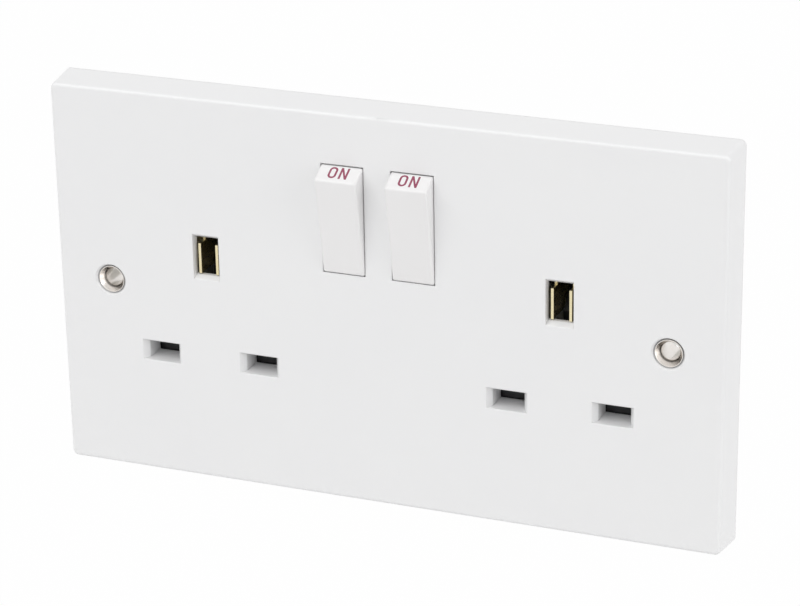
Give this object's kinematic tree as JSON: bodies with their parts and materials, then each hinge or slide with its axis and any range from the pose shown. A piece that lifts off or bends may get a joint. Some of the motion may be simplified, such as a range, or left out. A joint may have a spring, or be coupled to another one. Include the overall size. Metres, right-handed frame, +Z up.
{
  "type": "twin switched socket outlet",
  "caption": "Flat white wall plate with two switched three-pin outlets: pin slots behind sliding shutters, rocker switches and eyelets for the fixing screws.",
  "frame": {"origin": "middle of the wall plane, half way between the two fixing holes", "axes": "+X right as seen from the room, +Y into the wall, +Z up"},
  "size_m": [0.145, 0.0302, 0.085],
  "materials": {
    "white_moulding": "moulded, smooth gloss",
    "cover_moulding": "moulded, matt",
    "black_moulding": "moulded, satin",
    "nylon": "moulded, natural nylon",
    "brass": "rolled strip",
    "nickel_plate": "bright nickel plate",
    "zinc_steel": "bright zinc plate",
    "spring_steel": "drawn wire",
    "silver_contact": "dull silver"
  },
  "bodies": {
    "housing": {"front_plate": "white_moulding", "rear_cover": "cover_moulding", "cover_screws": "zinc_steel", "terminal_screws": "zinc_steel", "live_bar": "brass", "neutral_bar": "brass", "earth_bar": "brass", "terminal_block_neutral": "brass", "terminal_block_earth_left": "brass", "terminal_block_earth_right": "brass", "terminal_block_line": "brass", "shutter_spring_left": "spring_steel", "fixed_tip_left": "silver_contact", "line_contact_left": "brass", "earth_clip_left": "brass", "earth_link_left": "brass", "eyelet_left": "nickel_plate", "shutter_spring_right": "spring_steel", "fixed_tip_right": "silver_contact", "line_contact_right": "brass", "earth_clip_right": "brass", "earth_link_right": "brass", "eyelet_right": "nickel_plate"},
    "left_rocker": {"rocker_left": "white_moulding", "plunger_spring_left": "spring_steel"},
    "left_plunger": {"plunger_left": "nylon"},
    "left_lever": {"contact_lever_left": "brass", "moving_tip_left": "silver_contact"},
    "left_shutter": {"shutter_left": "black_moulding"},
    "right_rocker": {"rocker_right": "white_moulding", "plunger_spring_right": "spring_steel"},
    "right_plunger": {"plunger_right": "nylon"},
    "right_lever": {"contact_lever_right": "brass", "moving_tip_right": "silver_contact"},
    "right_shutter": {"shutter_right": "black_moulding"}
  },
  "joints": [
    {"name": "left_rocker_tilt", "type": "hinge", "parent": "housing", "child": "left_rocker", "pos_m": [-0.00746, -0.0049, 0.01955], "axis": [1, 0, 0], "range_deg": [-20.2, 0]},
    {"name": "left_lever_rock", "type": "hinge", "parent": "housing", "child": "left_lever", "pos_m": [-0.00746, 0.0073, 0.01955], "axis": [1, 0, 0], "range_deg": [0, 12]},
    {"name": "left_plunger_slide", "type": "slide", "parent": "left_rocker", "child": "left_plunger", "axis": [0, -0.9845, -0.1754], "range_m": [0, 0.0006], "stiffness_N_per_m": 400, "springref_m": -0.002, "deforming": ["plunger_spring_left"]},
    {"name": "left_shutter_slide", "type": "slide", "parent": "housing", "child": "left_shutter", "axis": [0, 0, -1], "range_m": [0, 0.006], "stiffness_N_per_m": 150, "springref_m": -0.004, "deforming": ["shutter_spring_left"]},
    {"name": "right_rocker_tilt", "type": "hinge", "parent": "housing", "child": "right_rocker", "pos_m": [0.00746, -0.0049, 0.01955], "axis": [1, 0, 0], "range_deg": [-20.2, 0]},
    {"name": "right_lever_rock", "type": "hinge", "parent": "housing", "child": "right_lever", "pos_m": [0.00746, 0.0073, 0.01955], "axis": [1, 0, 0], "range_deg": [0, 12]},
    {"name": "right_plunger_slide", "type": "slide", "parent": "right_rocker", "child": "right_plunger", "axis": [0, -0.9845, -0.1754], "range_m": [0, 0.0006], "stiffness_N_per_m": 400, "springref_m": -0.002, "deforming": ["plunger_spring_right"]},
    {"name": "right_shutter_slide", "type": "slide", "parent": "housing", "child": "right_shutter", "axis": [0, 0, -1], "range_m": [0, 0.006], "stiffness_N_per_m": 150, "springref_m": -0.004, "deforming": ["shutter_spring_right"]}
  ],
  "couplings": [
    {"joint": "left_lever_rock", "follows": "left_rocker_tilt", "ratio": -0.594},
    {"joint": "right_lever_rock", "follows": "right_rocker_tilt", "ratio": -0.594}
  ]
}
